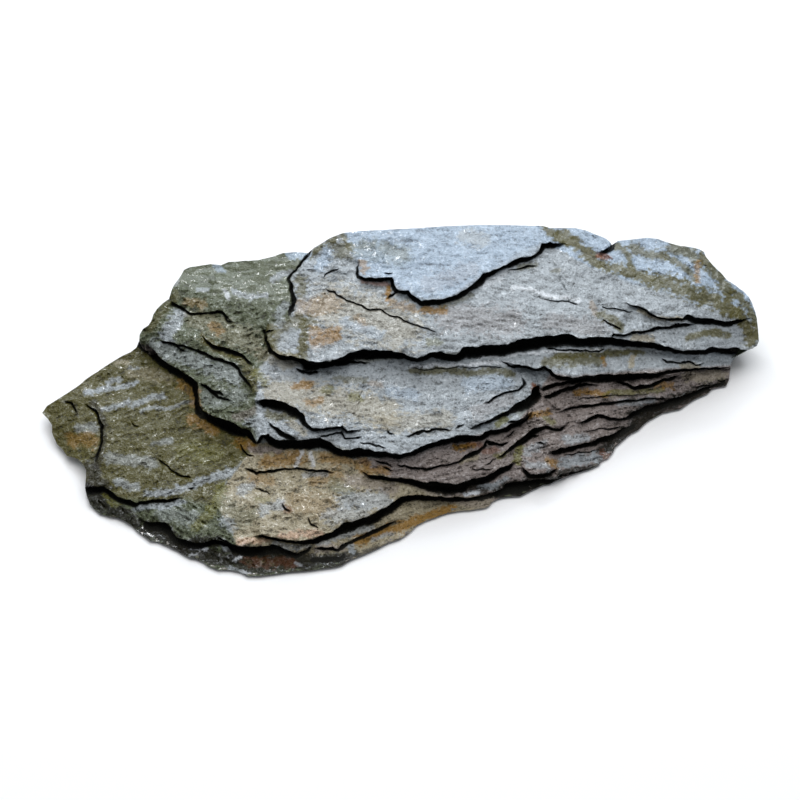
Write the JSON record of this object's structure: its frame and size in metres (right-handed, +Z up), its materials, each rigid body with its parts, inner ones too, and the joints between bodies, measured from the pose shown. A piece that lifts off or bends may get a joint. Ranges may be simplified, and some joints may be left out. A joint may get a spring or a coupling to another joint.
{
  "type": "flat river stone",
  "caption": "Flat, layered slab of weathered river stone that rests on its bed face, for ponds, streams and gardens.",
  "frame": {"origin": "on the resting plane, at the middle of the stone's outline seen from above", "axes": "+X along the stone's long side, +Y towards its thick back edge, +Z up from the bed face it rests on"},
  "size_m": [0.43, 0.2538, 0.0585],
  "materials": {
    "slate": "wet, naturally split slate with olive, rust and blue-grey layers"
  },
  "bodies": {
    "root": {"stone": "slate"}
  },
  "joints": []
}
